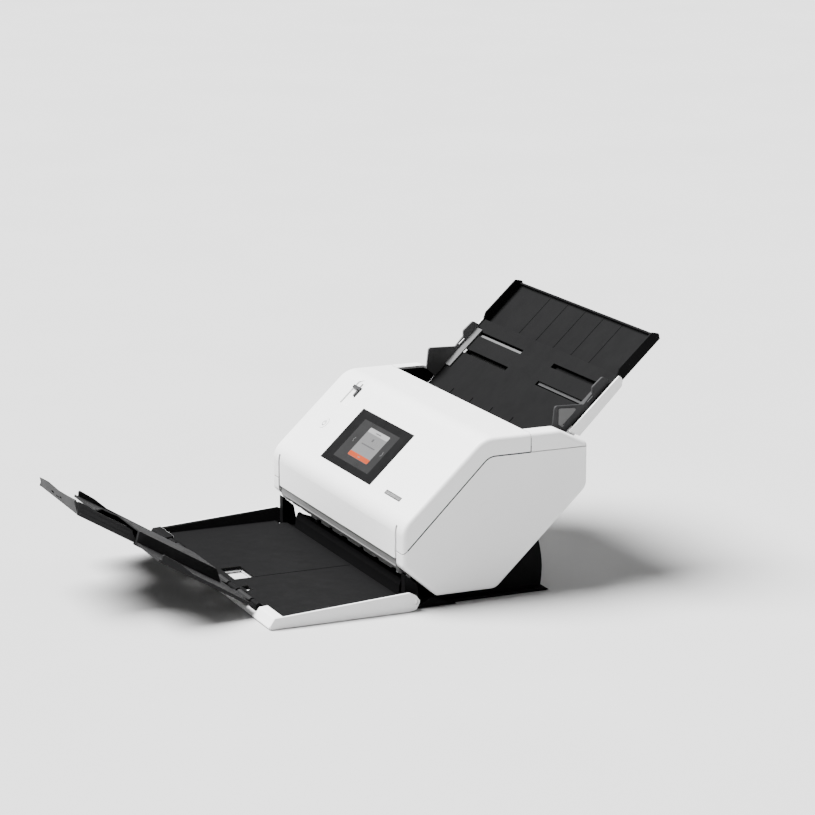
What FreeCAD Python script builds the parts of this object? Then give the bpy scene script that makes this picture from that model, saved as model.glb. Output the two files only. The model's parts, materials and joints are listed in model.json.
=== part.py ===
import FreeCAD, Part
import math
import os

# Sheet fed document scanner, in millimetres.
# +X is the viewer's right, -Y is the front, +Z is up.
# The origin lies on the table, under the middle of the scanner body.

V = FreeCAD.Vector
X_AXIS = V(1, 0, 0)

# ---- driving dimensions -------------------------------------------------------------
BODY_WIDTH = 431.0
HALF = BODY_WIDTH / 2
WALL = 3.0
EDGE_ROUND = 6.0
FRONT_Y = -134.0
REAR_Y = 115.0
TOP_Z = 206.0
BOTTOM_Z = 14.0
PATH_ANGLE = 43.0            # slope of the paper path, the front face and the input tray

CENTRE_HALF = 192.8          # half width of the back wall's upper strip
REAR_OPENING_HALF = 190.7    # half width of the opening between the fixed rear cheeks
CHEEK_INNER = 194.3          # inner edge of the side covers
GUIDE_HALF = 186.0           # half width of the paper guides
PLATE_IN = 186.6             # chassis side plates
PLATE_OUT = 188.4

TILT_AXIS = (-66.0, 27.0)    # body on base
COVER_AXIS = (-117.0, 54.0)  # front cover on chassis
TRAY_AXIS = (-119.0, 12.0)   # output tray on base
FLAP_AXIS = (-299.5, 12.0)   # first extension on tray
FLAP_ANGLE = 31.0
FLAP_FOOT = (-303.0, 9.0)    # where the flap's lower face would meet the tray
PIN_RADIUS = 3.0
PIN_FIT = 0.06

PATH_ORIGIN = (-10.0, 96.0)  # a point on the paper path
EXIT_ANGLE = 22.0            # slope of the last stretch of the path
EXIT_BEND = -68.0            # where along the path the exit stretch starts

# ---- outlines in the YZ plane -------------------------------------------------------
BODY_OUTLINE = [
    (FRONT_Y, 53.5, 8), (FRONT_Y, 105.8, 28), (-27, TOP_Z, 34), (76, TOP_Z, 12),
    (REAR_Y, 187, 8), (REAR_Y, 130.4, 18), (-8.7, BOTTOM_Z, 15), (-88.6, BOTTOM_Z, 8),
]
SEAM_FRONT = (-150.0, 54.3)
SEAM_BEND = (-19.7, 182.0)
SEAM_GAP = 1.0
TOP_SEAM_Y = 36.0            # between the front cover and the fixed rear top


# ---- helpers ------------------------------------------------------------------------
def face_yz(points):
    """Flat face in the YZ plane; a third number rounds that corner."""
    count = len(points)
    edges = []
    starts, ends, middles = [], [], []
    for i, point in enumerate(points):
        here = V(0, point[0], point[1])
        radius = point[2] if len(point) > 2 else 0
        before = V(0, points[i - 1][0], points[i - 1][1])
        after = V(0, points[(i + 1) % count][0], points[(i + 1) % count][1])
        if radius == 0:
            starts.append(here)
            ends.append(here)
            middles.append(None)
            continue
        to_before = (before - here).normalize()
        to_after = (after - here).normalize()
        half_angle = to_before.getAngle(to_after) / 2
        reach = radius / math.tan(half_angle)
        bisector = (to_before + to_after).normalize()
        centre = here + bisector * (radius / math.sin(half_angle))
        starts.append(here + to_before * reach)
        ends.append(here + to_after * reach)
        middles.append(centre - bisector * radius)
    for i in range(count):
        if middles[i] is not None:
            edges.append(Part.Arc(starts[i], middles[i], ends[i]).toShape())
        start = ends[i]
        end = starts[(i + 1) % count]
        if start.distanceToPoint(end) > 1e-6:
            edges.append(Part.makeLine(start, end))
    return Part.Face(Part.Wire(edges))


def bar(points, x0, x1):
    """Solid with a YZ outline, from x0 to x1."""
    face = face_yz(points)
    face.translate(V(x0, 0, 0))
    return face.extrude(V(x1 - x0, 0, 0))


def box(x0, x1, y0, y1, z0, z1):
    return Part.makeBox(x1 - x0, y1 - y0, z1 - z0, V(x0, y0, z0))


def rod(radius, x0, x1, centre):
    """Cylinder along X, through (y, z)."""
    return Part.makeCylinder(radius, x1 - x0, V(x0, centre[0], centre[1]), X_AXIS)


def tube(outer, inner, x0, x1, centre):
    return rod(outer, x0, x1, centre).cut(rod(inner, x0 - 1, x1 + 1, centre))


def union(shapes):
    result = shapes[0]
    if len(shapes) > 1:
        result = shapes[0].fuse(shapes[1:])
    return result.removeSplitter()


def both_sides(make):
    """A shape on the right, and its mirror image on the left."""
    right = make()
    left = right.mirror(V(0, 0, 0), X_AXIS)
    return [right, left]


def turned(shape, degrees, centre):
    """Turn about an X line through (y, z)."""
    shape = shape.copy()
    shape.rotate(V(0, centre[0], centre[1]), X_AXIS, degrees)
    return shape


def on_path(along, height):
    """(y, z) of a point along the paper path and above it."""
    angle = math.radians(PATH_ANGLE)
    y = PATH_ORIGIN[0] + along * math.cos(angle) - height * math.sin(angle)
    z = PATH_ORIGIN[1] + along * math.sin(angle) + height * math.cos(angle)
    return (y, z)


def on_exit(along, height):
    """(y, z) along the exit stretch, counted from the bend towards the front."""
    angle = math.radians(EXIT_ANGLE)
    bend = on_path(EXIT_BEND, 0)
    y = bend[0] - along * math.cos(angle) - height * math.sin(angle)
    z = bend[1] - along * math.sin(angle) + height * math.cos(angle)
    return (y, z)


def path_box(x0, x1, along0, along1, height0, height1):
    """Box whose sides run along and square to the paper path."""
    block = box(x0, x1, along0, along1, height0, height1)
    block.translate(V(0, PATH_ORIGIN[0], PATH_ORIGIN[1]))
    return turned(block, PATH_ANGLE, PATH_ORIGIN)


def exit_box(x0, x1, along0, along1, height0, height1):
    """The same on the exit stretch."""
    bend = on_path(EXIT_BEND, 0)
    block = box(x0, x1, -along1, -along0, height0, height1)
    block.translate(V(0, bend[0], bend[1]))
    return turned(block, EXIT_ANGLE, bend)


def flap_box(x0, x1, out0, out1, up0, up1):
    """Box on the output extension: out from its foot, and up from its lower face."""
    block = box(x0, x1, -out1, -out0, up0, up1)
    block.translate(V(0, FLAP_FOOT[0], FLAP_FOOT[1]))
    return turned(block, -FLAP_ANGLE, FLAP_FOOT)


def flap_bar(points, x0, x1):
    """Solid with an (out, up) outline on the output extension."""
    placed = [(FLAP_FOOT[0] - p[0], FLAP_FOOT[1] + p[1]) + tuple(p[2:]) for p in points]
    return turned(bar(placed, x0, x1), -FLAP_ANGLE, FLAP_FOOT)


def flap_prism(points, out0, out1):
    """Solid with an (x, up) outline, running out along the output extension."""
    corners = [V(x, FLAP_FOOT[0] - out1, FLAP_FOOT[1] + up) for x, up in points]
    face = Part.Face(Part.makePolygon(corners + corners[:1]))
    return turned(face.extrude(V(0, out1 - out0, 0)), -FLAP_ANGLE, FLAP_FOOT)


def path_bar(points, x0, x1):
    """Solid with an (along, height) outline on the paper path."""
    placed = [(PATH_ORIGIN[0] + p[0], PATH_ORIGIN[1] + p[1]) + tuple(p[2:]) for p in points]
    return turned(bar(placed, x0, x1), PATH_ANGLE, PATH_ORIGIN)


def gear_face(teeth, module, phase, shrink=0.84):
    """Outline of a spur gear with straight flanks and running backlash."""
    pitch = teeth * module / 2
    tip = pitch + module * 0.9
    root = pitch - module * 1.15
    step = 2 * math.pi / teeth
    half_root = step * 0.33 * shrink
    half_tip = step * 0.13 * shrink
    points = []
    for i in range(teeth):
        middle = phase + i * step
        for radius, offset in ((root, -half_root), (tip, -half_tip), (tip, half_tip), (root, half_root)):
            angle = middle + offset
            points.append((radius * math.cos(angle), radius * math.sin(angle)))
    return points


def gear(teeth, module, phase, x0, x1, centre, bore):
    outline = [(centre[0] + y, centre[1] + z) for y, z in gear_face(teeth, module, phase)]
    return bar(outline, x0, x1).cut(rod(bore, x0 - 1, x1 + 1, centre))


def meshing_phase(teeth_a, phase_a, centre_a, teeth_b, centre_b):
    """Phase that puts a gap of gear b on a tooth of gear a."""
    line = math.atan2(centre_b[1] - centre_a[1], centre_b[0] - centre_a[0])
    offset = phase_a - line
    return line + math.pi - offset * teeth_a / teeth_b + math.pi / teeth_b


PARTS = {}


def part(name, shapes):
    """Keep a sub-part; a list of solids stays a group of separate solids."""
    if isinstance(shapes, list):
        solids = [solid for shape in shapes for solid in shape.Solids]
        PARTS[name] = Part.makeCompound(solids)
    else:
        PARTS[name] = shapes


# ---- base ---------------------------------------------------------------------------
FOOT_HEIGHT = 0.8
DECK_TOP = 4.0
CHEEK_IN = 189.2
CHEEK_OUT = 193.2
CHEEK_REACH = 130.0
POST_IN = 195.5
POST_OUT = 206.0
FEET_PLACES = [
    (-60, 60, -7, 7),
    (150, 178, -104, -90), (-178, -150, -104, -90),
    (150, 178, 38, 52), (-178, -150, 38, 52),
]


def base_cheek():
    """Upright plate that carries the tilt pin, with its rear edge an arc about it."""
    def on_arc(degrees):
        angle = math.radians(degrees)
        return (TILT_AXIS[0] + CHEEK_REACH * math.cos(angle), TILT_AXIS[1] + CHEEK_REACH * math.sin(angle))
    low, middle, high = on_arc(-10), on_arc(6), on_arc(22)
    edges = [
        Part.makeLine(V(0, -79, FOOT_HEIGHT), V(0, low[0], FOOT_HEIGHT)),
        Part.makeLine(V(0, low[0], FOOT_HEIGHT), V(0, *low)),
        Part.Arc(V(0, *low), V(0, *middle), V(0, *high)).toShape(),
        Part.makeLine(V(0, *high), V(0, -22, 17)),
        Part.makeLine(V(0, -22, 17), V(0, -55, 33)),
        Part.makeLine(V(0, -55, 33), V(0, -66, 38)),
        Part.makeLine(V(0, -66, 38), V(0, -76, 34)),
        Part.makeLine(V(0, -76, 34), V(0, -79, FOOT_HEIGHT)),
    ]
    face = Part.Face(Part.Wire(edges))
    face.translate(V(CHEEK_IN, 0, 0))
    plate = face.extrude(V(CHEEK_OUT - CHEEK_IN, 0, 0))
    return plate.cut(rod(PIN_RADIUS + PIN_FIT, CHEEK_IN - 1, CHEEK_OUT + 1, TILT_AXIS))


def base_post():
    """Front corner post that carries the tray's hinge pin."""
    post = bar([(-128, FOOT_HEIGHT), (-128, 44), (-112, 30.5), (-108, 9, 4), (-90, 9), (-90, FOOT_HEIGHT)],
               POST_IN, POST_OUT)
    return post.cut(rod(PIN_RADIUS + PIN_FIT, POST_IN + 4, POST_OUT + 1, TRAY_AXIS))


def base_heel():
    """Low spreading foot outside the body, seen beside the tray hinge."""
    return bar([(-122, FOOT_HEIGHT), (-94, 12.5, 5), (-61, FOOT_HEIGHT)], POST_OUT - 0.5, 211.5)


def base_flare():
    """Lip along the deck's rear edge."""
    return bar([(58, FOOT_HEIGHT), (58, DECK_TOP), (63, DECK_TOP), (69, FOOT_HEIGHT)], 120, 204)


def make_base():
    deck = box(-205, 205, -118, 64, FOOT_HEIGHT, DECK_TOP)
    pieces = [deck]
    for make in (base_cheek, base_post, base_heel, base_flare):
        pieces += both_sides(make)
    frame = union(pieces)
    for x0, x1, y0, y1 in FEET_PLACES:
        frame = frame.cut(box(x0, x1, y0, y1, 0, 2.0))
    part("base_frame", frame)
    ramp = bar([(-121, DECK_TOP + 0.05), (-119.5, 20), (-117, 26, 4), (-113.5, 28.5, 3), (-111, 25, 2),
                (-111, DECK_TOP + 0.05)], -170, 170)
    hollow = bar([(-118.3, DECK_TOP - 1), (-117.2, 19), (-114.5, 24.5), (-113.3, 24), (-113.3, DECK_TOP - 1)],
                 -167, 167)
    part("exit_ramp", ramp.cut(hollow))
    part("rubber_feet", [box(x0, x1, y0, y1, 0, 2.0) for x0, x1, y0, y1 in FEET_PLACES])
    tilt_pins = both_sides(lambda: rod(PIN_RADIUS, PLATE_IN - 3, CHEEK_OUT + 0.6, TILT_AXIS))
    tray_pins = both_sides(lambda: rod(PIN_RADIUS, POST_IN + 4.5, 218.5, TRAY_AXIS))
    part("base_pins", tilt_pins + tray_pins)


# ---- body covers --------------------------------------------------------------------
def body_block():
    """Whole outer form of the scanner body with its long edges rounded."""
    block = bar(BODY_OUTLINE, -HALF, HALF)
    ends = [e for e in block.Edges if abs(abs(e.CenterOfMass.x) - HALF) < 0.01]
    return block.makeFillet(EDGE_ROUND, ends)


def body_inside(gap, half_width):
    """Form inside the walls."""
    face = face_yz(BODY_OUTLINE).makeOffset2D(-gap)
    face.translate(V(-half_width, 0, 0))
    return face.extrude(V(2 * half_width, 0, 0))


def above_seam(x0, x1, rear, lift):
    slope = (SEAM_BEND[1] - SEAM_FRONT[1]) / (SEAM_BEND[0] - SEAM_FRONT[0])
    return bar([(SEAM_FRONT[0], SEAM_FRONT[1] + lift * 1.4),
                (SEAM_BEND[0] - lift * 0.4, SEAM_BEND[1] + lift, 20),
                (rear, SEAM_BEND[1] + lift), (rear, TOP_Z + 20),
                (SEAM_FRONT[0], SEAM_FRONT[1] + 190 * slope)], x0, x1)


def below_seam(x0, x1):
    return bar([(SEAM_FRONT[0], SEAM_FRONT[1]), (SEAM_BEND[0], SEAM_BEND[1], 20), (REAR_Y + 5, SEAM_BEND[1]),
                (REAR_Y + 5, 0), (SEAM_FRONT[0], 0)], x0, x1)


NOSE_HALF = 189.5            # half width of the cover's nose between the cheeks
NOSE_BOTTOM = 61.0           # where its white skin ends, above the grey lip
SLOPE_TILT = 43.1


def slope_box(x0, x1, up0, up1, depth0, depth1):
    """Box on the front slope: up from the slope's foot, depth below the surface."""
    block = box(x0, x1, up0, up1, -depth1, -depth0)
    block.translate(V(0, FRONT_Y, 105.8))
    return turned(block, SLOPE_TILT, (FRONT_Y, 105.8))


def slope_prism(points, depth0, depth1):
    """Solid with an (x, up) outline on the front slope."""
    corners = [V(x, up, -depth1) for x, up in points]
    peg = Part.Face(Part.makePolygon(corners + corners[:1])).extrude(V(0, 0, depth1 - depth0))
    peg.translate(V(0, FRONT_Y, 105.8))
    return turned(peg, SLOPE_TILT, (FRONT_Y, 105.8))


def slope_rod(radius, x, up, depth0, depth1):
    peg = Part.makeCylinder(radius, depth1 - depth0, V(x, up, -depth1), V(0, 0, 1))
    peg.translate(V(0, FRONT_Y, 105.8))
    return turned(peg, SLOPE_TILT, (FRONT_Y, 105.8))


SCREEN = (-90.4, 71.2, 24.5, 108.5)      # bezel on the slope: x and height up the slope
BEZEL_DEPTH = 1.2
GLASS = (-65.0, 46.0, 35.0, 97.0)
BUTTON_X = -149.0
BUTTON_UP = 66.0
BUTTON_RADIUS = 8.0
LEVER_MIDDLE = -145.5        # lever slot: x of its middle
LEVER_UP = (101.0, 147.0)    # and its reach up the slope
LEVER_RECESS = 1.8           # depth of the recess the lever runs in
CHEEK_LINER = (190.7, 193.2) # dark inner faces of the cheeks


def make_covers(block):
    skin = block.cut(body_inside(WALL, HALF - WALL))
    # front cover: everything above the seam, and the nose that hangs between the cheeks
    upper = above_seam(-HALF - 1, HALF + 1, TOP_SEAM_Y, SEAM_GAP)
    nose = bar([(-150, NOSE_BOTTOM), (-150, 200), (-60, 200), (-60, 120), (-128, NOSE_BOTTOM)],
               -NOSE_HALF, NOSE_HALF)
    cover = skin.common(upper.fuse(nose))
    x0, x1, up0, up1 = SCREEN
    cover = cover.cut(slope_box(x0 - 0.2, x1 + 0.2, up0 - 0.2, up1 + 0.2, -5, BEZEL_DEPTH))
    cover = cover.cut(slope_box(x0 + 6, x1 - 6, up0 + 6, up1 - 6, -5, 10))
    cover = cover.cut(slope_rod(BUTTON_RADIUS + 0.4, BUTTON_X, BUTTON_UP, -5, 10))
    low, high = LEVER_UP
    recess = [(-12.5, low), (12.5, low), (12, high - 6), (8, high), (2, high), (-12.3, high - 8.5)]
    cover = cover.cut(slope_prism([(LEVER_MIDDLE + x, up) for x, up in recess], -5, LEVER_RECESS))
    cover = cover.cut(slope_box(LEVER_MIDDLE - 2, LEVER_MIDDLE + 2, low + 18.5, high - 9, -5, 12))
    slots = both_sides(lambda: box(NOSE_HALF, CHEEK_INNER - 0.1, FRONT_Y - 5, FRONT_Y + 8, 60, 103))
    for cut in slots:
        cover = cover.cut(cut)
    part("cover_shell", max(cover.Solids, key=lambda s: s.Volume))
    part("side_cover_right", side_cover(block, 1))
    part("side_cover_left", side_cover(block, -1))
    part("rear_cover", rear_cover(block))
    bottom = body_inside(0, PLATE_IN - 0.6).cut(body_inside(WALL, HALF))
    bottom = bottom.common(box(-HALF, HALF, -82, -6, 0, 40))
    for x in range(-150, 151, 60):
        for y in (-70, -52, -34):
            bottom = bottom.cut(box(x - 18, x + 18, y - 2, y + 2, 0, 30))
    part("bottom_cover", bottom)


def side_cover(block, side):
    """Pan shaped shell: the outer face and the rim along the body's outline."""
    x0, x1 = sorted((side * CHEEK_INNER, side * (HALF + 1)))
    pan = block.common(below_seam(x0, x1))
    inner_face = face_yz(BODY_OUTLINE).makeOffset2D(-WALL)
    start = side * (CHEEK_INNER - 1)
    inner_face.translate(V(start, 0, 0))
    hollow = inner_face.extrude(V(side * (HALF - 3.5) - start, 0, 0))
    pan = pan.cut(hollow.common(below_seam(x0 - 2, x1 + 2)))
    return max(pan.Solids, key=lambda s: s.Volume)


def rear_cover(block):
    """Back wall with the two fixed cheeks beside the paper opening."""
    skin = block.cut(body_inside(WALL, HALF - WALL))
    top = bar([(TOP_SEAM_Y + SEAM_GAP, SEAM_BEND[1] + SEAM_GAP), (TOP_SEAM_Y + SEAM_GAP, TOP_Z + 5),
               (REAR_Y + 5, TOP_Z + 5), (REAR_Y + 5, SEAM_BEND[1] + SEAM_GAP)], -HALF - 1, HALF + 1)
    cheeks = skin.common(top)
    cheeks = cheeks.cut(box(-REAR_OPENING_HALF, REAR_OPENING_HALF, 0, 200, 150, 260))
    back_zone = bar([(-5, 0), (-5, 30), (60, 90), (REAR_Y - 8, 150), (REAR_Y - 8, 187), (REAR_Y + 5, 187),
                     (REAR_Y + 5, 0)], -PLATE_IN + 0.6, PLATE_IN - 0.6)
    back = skin.common(back_zone)
    joiner_zone = box(-CENTRE_HALF + 0.4, CENTRE_HALF - 0.4, REAR_Y - 9, REAR_Y + 5, 150, 186)
    joiner = skin.common(joiner_zone)
    cover = union([cheeks, back, joiner])
    for opening in PORT_OPENINGS:
        cover = cover.cut(box(opening[0], opening[1], REAR_Y - 20, REAR_Y + 5, opening[2], opening[3]))
    return cover


PORT_OPENINGS = [(120.0, 150.0, 140.0, 164.0), (88.0, 104.0, 142.0, 156.0), (60.0, 72.0, 144.0, 156.0)]


# ---- chassis and lower paper path ---------------------------------------------------
SHAFT = 4.0
SHAFT_FIT = 0.05
BUSH_OUTER = 6.0
PATH_TYRES = [(-130, -110), (-50, -30), (30, 50), (110, 130)]
FEED_TYRES = [(-34, -14), (14, 34)]
PICKUP_TYRES = [(-42, -20), (20, 42)]
TYRE_PROUD = 0.4
PINCH_GAP = 0.3
CONVEYOR_RADIUS = 9.0
FEED_RADIUS = 13.0
PICKUP_RADIUS = 15.0
EJECT_RADIUS = 8.4
CONVEYOR_ALONG = -20.0
FEED_ALONG = 5.0
PICKUP_ALONG = 42.0
EJECT_ALONG = 32.0
CONVEYOR = on_path(CONVEYOR_ALONG, TYRE_PROUD - CONVEYOR_RADIUS)
FEED = on_path(FEED_ALONG, TYRE_PROUD - FEED_RADIUS)
PICKUP = on_path(PICKUP_ALONG, TYRE_PROUD - PICKUP_RADIUS)
EJECT = on_exit(EJECT_ALONG, TYRE_PROUD - EJECT_RADIUS)
GUIDE_THICK = 2.5
GUIDE_GAP = 2.2              # between the lower and upper paper guides
SENSOR_ALONG = (-58.0, -36.0)
SENSOR_HALF = 160.0
GLASS_ALONG = (-54.0, -40.0)
GLASS_HALF = 156.0
INPUT_START = 72.0           # where the lower guide hands over to the input tray


def cut_all(shape, tools):
    for tool in tools:
        shape = shape.cut(tool)
    return shape


def make_chassis():
    outline = [(-123, 50), (-121, 59.5), (-113, 59.5), (-104, 50), (-68, 44), on_path(-60, -4),
               on_path(74, -4),
               on_path(74, -12.5), on_path(118, -12.5),
               (111.2, 172), (111.2, 136), (104, 125.5), (-4, 23.4), (-8, 18), (-84, 18),
               (-98, 28), (-106, 36),
               (-106, 47), (-111, 50), (-117, 48)]
    plate = bar(outline, PLATE_IN, PLATE_OUT)
    for centre in (CONVEYOR, FEED, PICKUP, EJECT):
        plate = plate.cut(rod(BUSH_OUTER, PLATE_IN - 1, PLATE_OUT + 1, centre))
    plate = plate.cut(rod(4, PLATE_IN - 1, PLATE_OUT + 1, MOTOR))
    plate = plate.cut(rod(COVER_PIN, PLATE_IN - 1, PLATE_OUT + 1, COVER_AXIS))
    plate = plate.cut(rod(PIN_RADIUS + PIN_FIT, PLATE_IN - 1, PLATE_OUT + 1, TILT_AXIS))
    for y, z in ((40, 92), (78, 118), (-40, 32)):
        plate = plate.cut(rod(9, PLATE_IN - 1, PLATE_OUT + 1, (y, z)))
    part("chassis_plates", both_sides(lambda: plate))
    bars = [rod(4, -PLATE_IN, PLATE_IN, centre) for centre in ((62, 125), (82, 150), (-50, 24))]
    bars += both_sides(lambda: rod(COVER_PIN, FRAME_PLATE_IN, PLATE_OUT + 0.6, COVER_AXIS))
    bars += [rod(3, GEAR_X[0] - 1, -PLATE_OUT, centre) for centre in (LOWER_IDLER, UPPER_IDLER)]
    part("chassis_bars", bars)
    bushes = []
    for centre in (CONVEYOR, FEED, PICKUP, EJECT):
        bushes += both_sides(lambda: tube(BUSH_OUTER, SHAFT + SHAFT_FIT, PLATE_IN - 0.4, PLATE_OUT, centre))
    part("roller_bushes", bushes)


COVER_PIN = 2.5
FRAME_PLATE_IN = 182.0       # side plates of the cover's inner frame
FRAME_PLATE_OUT = 185.0


def tyre_windows(spans, along, radius, low, high, on_exit_part=False):
    make = exit_box if on_exit_part else path_box
    return [make(x0 - 2, x1 + 2, along - radius, along + radius, low, high) for x0, x1 in spans]


def glass_window(low, high):
    """Opening in a paper guide for its scanning glass."""
    return path_box(-GLASS_HALF - 0.5, GLASS_HALF + 0.5, GLASS_ALONG[0] - 0.5,
                    GLASS_ALONG[1] + 0.5, low, high)


def make_lower_guide():
    bend_drop = GUIDE_THICK * math.tan(math.radians((PATH_ANGLE - EXIT_ANGLE) / 2))
    outline = [on_path(INPUT_START, 0), on_path(EXIT_BEND, 0), on_exit(50, 0), on_exit(50, -GUIDE_THICK),
               on_path(EXIT_BEND - bend_drop, -GUIDE_THICK), on_path(INPUT_START, -GUIDE_THICK)]
    plate = bar(outline, -GUIDE_HALF, GUIDE_HALF)
    tools = tyre_windows(PATH_TYRES, CONVEYOR_ALONG, 8, -5, 3)
    tools += tyre_windows(FEED_TYRES, FEED_ALONG, 10, -5, 3)
    tools += tyre_windows(PICKUP_TYRES, PICKUP_ALONG, 12, -5, 3)
    tools += tyre_windows(PATH_TYRES, EJECT_ALONG, 8, -5, 3, True)
    tools.append(glass_window(-5, 3))
    part("lower_paper_guide", cut_all(plate, tools))
    part("lower_sensor_housing", sensor_housing(-20, -GUIDE_THICK - 0.3, -1))
    part("lower_sensor_glass", path_box(-GLASS_HALF, GLASS_HALF, *GLASS_ALONG, -GUIDE_THICK - 0.2, -0.15))


def sensor_housing(low, high, opening_side):
    """Long box with a lens slot towards the glass."""
    block = path_box(-SENSOR_HALF, SENSOR_HALF, *SENSOR_ALONG, low, high)
    if opening_side < 0:
        slot = path_box(-GLASS_HALF + 4, GLASS_HALF - 4, -49.5, -44.5, high - 8, high + 1)
    else:
        slot = path_box(-GLASS_HALF + 4, GLASS_HALF - 4, -49.5, -44.5, low - 1, low + 8)
    return block.cut(slot)


LIP_REACH = 17.9             # from the cover axis to the far corner of its grey lip
FINGERS = [(-132, -112), (-96, -70), (-58, -28), (-8, 30), (44, 78), (92, 128), (146, 160), (176, 183)]


def make_exit_guide():
    """Fixed strip under the front with the upper guide of the exit, and its hanging fingers."""
    outline = [(-121.2, 42.3), (-111.8, 34.1), on_exit(50, 2.4), on_exit(10, 2.4), on_exit(10, 4.3),
               on_exit(46, 4.3), (-109.6, 37.6), (-118.5, 44.3)]
    strip = bar(outline, -GUIDE_HALF, GUIDE_HALF)
    strip = strip.cut(rod(LIP_REACH + 0.6, -200, 200, COVER_AXIS))
    strip = cut_all(strip, tyre_windows(PATH_TYRES, EJECT_ALONG, 8, 0, 10, True))
    fingers = [box(x0, x1, -113.2, -110.9, 30.6, 35.6) for x0, x1 in FINGERS]
    lugs = []
    for x0, x1 in ((150, 153), (-153, -150)):
        lug = exit_box(x0, x1, EJECT_ALONG - 7, EJECT_ALONG + 7, 4.0, 11.5)
        lugs.append(lug.cut(rod(2 + SHAFT_FIT, -200, 200, EJECT_PINCH)))
    part("exit_guide", union([strip] + fingers + lugs))


EJECT_PINCH_RADIUS = 6.0
CONVEYOR_PINCH_RADIUS = 7.0
RETARD_RADIUS = 12.0
EJECT_PINCH = on_exit(EJECT_ALONG, TYRE_PROUD + PINCH_GAP + EJECT_PINCH_RADIUS)
CONVEYOR_PINCH = on_path(CONVEYOR_ALONG, TYRE_PROUD + PINCH_GAP + CONVEYOR_PINCH_RADIUS)
RETARD = on_path(FEED_ALONG, TYRE_PROUD + PINCH_GAP + RETARD_RADIUS)
GEAR_X = (-206.0, -200.0)
BELT_X = (-199.2, -195.2)
PULLEY_RADIUS = 7.0
BELT_GAP = 0.3
BELT_THICK = 1.2


def shaft_with_grooves(radius, x0, x1, centre):
    """Steel shaft with a clip groove at each end."""
    shaft = rod(radius, x0, x1, centre)
    for x in (x0 + 1.6, x1 - 2.2):
        shaft = shaft.cut(tube(radius + 1, radius - 0.5, x, x + 0.6, centre))
    return shaft


def tyres(radius, bore, spans, centre):
    """Rubber tyres with a fine ring of grooves."""
    solids = []
    for x0, x1 in spans:
        tyre = tube(radius, bore, x0, x1, centre)
        steps = 3
        pitch = (x1 - x0) / (steps + 1)
        for i in range(steps):
            x = x0 + pitch * (i + 1)
            tyre = tyre.cut(tube(radius + 1, radius - 0.5, x - 0.5, x + 0.5, centre))
        solids.append(tyre)
    return solids


def make_rollers():
    driven = [("conveyor", CONVEYOR, CONVEYOR_RADIUS, PATH_TYRES, GEAR_X[0] - 1),
              ("feed", FEED, FEED_RADIUS, FEED_TYRES, GEAR_X[0] - 1),
              ("pickup", PICKUP, PICKUP_RADIUS, PICKUP_TYRES, GEAR_X[0] - 1),
              ("eject", EJECT, EJECT_RADIUS, PATH_TYRES, BELT_X[0] - 1)]
    for name, centre, radius, spans, left in driven:
        shaft = shaft_with_grooves(SHAFT, left, PLATE_OUT + 0.5, centre)
        if name == "eject":
            shaft = shaft.fuse(tube(PULLEY_RADIUS, SHAFT - 0.5, *BELT_X, centre))
        part(name + "_roller_shaft", shaft)
        part(name + "_roller_tyres", tyres(radius, SHAFT, spans, centre))
    free = [("conveyor_pinch_rollers", CONVEYOR_PINCH, CONVEYOR_PINCH_RADIUS, PATH_TYRES, 2.5, 156),
            ("retard_rollers", RETARD, RETARD_RADIUS, FEED_TYRES, 3.0, 64),
            ("eject_pinch_rollers", EJECT_PINCH, EJECT_PINCH_RADIUS, PATH_TYRES, 2.0, 156)]
    for name, centre, radius, spans, thin, reach in free:
        part(name, union([rod(thin, -reach, reach, centre)] + tyres(radius, thin - 0.5, spans, centre)))


def third_corner(a, b, from_a, from_b, side):
    """Corner of a triangle from two corners and its distances to them."""
    dy, dz = b[0] - a[0], b[1] - a[1]
    base = math.hypot(dy, dz)
    along = (from_a ** 2 - from_b ** 2 + base ** 2) / (2 * base)
    height = math.sqrt(from_a ** 2 - along ** 2) * side
    return (a[0] + (along * dy - height * dz) / base, a[1] + (along * dz + height * dy) / base)


GEAR_TEETH = 22
IDLER_TEETH = 16
PINION_TEETH = 12
MESH_PLAY = 0.15
IDLER_REACH = (GEAR_TEETH + IDLER_TEETH) / 2 + MESH_PLAY
LOWER_IDLER = third_corner(CONVEYOR, FEED, IDLER_REACH, IDLER_REACH, -1)
UPPER_IDLER = third_corner(FEED, PICKUP, IDLER_REACH, IDLER_REACH, -1)
MOTOR_REACH = (IDLER_TEETH + PINION_TEETH) / 2 + MESH_PLAY
MOTOR_BEARING = math.radians(-78)
MOTOR = (LOWER_IDLER[0] + MOTOR_REACH * math.cos(MOTOR_BEARING),
         LOWER_IDLER[1] + MOTOR_REACH * math.sin(MOTOR_BEARING))
MOTOR_RADIUS = 17.0


def belt_loop(radius, x0, x1):
    """Stadium shaped solid round the conveyor and eject axes."""
    a, b = CONVEYOR, EJECT
    length = math.hypot(b[0] - a[0], b[1] - a[1])
    uy, uz = (b[0] - a[0]) / length, (b[1] - a[1]) / length
    ny, nz = -uz * radius, uy * radius
    edges = [
        Part.makeLine(V(0, a[0] + ny, a[1] + nz), V(0, b[0] + ny, b[1] + nz)),
        Part.Arc(V(0, b[0] + ny, b[1] + nz), V(0, b[0] + uy * radius, b[1] + uz * radius),
                 V(0, b[0] - ny, b[1] - nz)).toShape(),
        Part.makeLine(V(0, b[0] - ny, b[1] - nz), V(0, a[0] - ny, a[1] - nz)),
        Part.Arc(V(0, a[0] - ny, a[1] - nz), V(0, a[0] - uy * radius, a[1] - uz * radius),
                 V(0, a[0] + ny, a[1] + nz)).toShape(),
    ]
    face = Part.Face(Part.Wire(edges))
    face.translate(V(x0, 0, 0))
    return face.extrude(V(x1 - x0, 0, 0))


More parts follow.
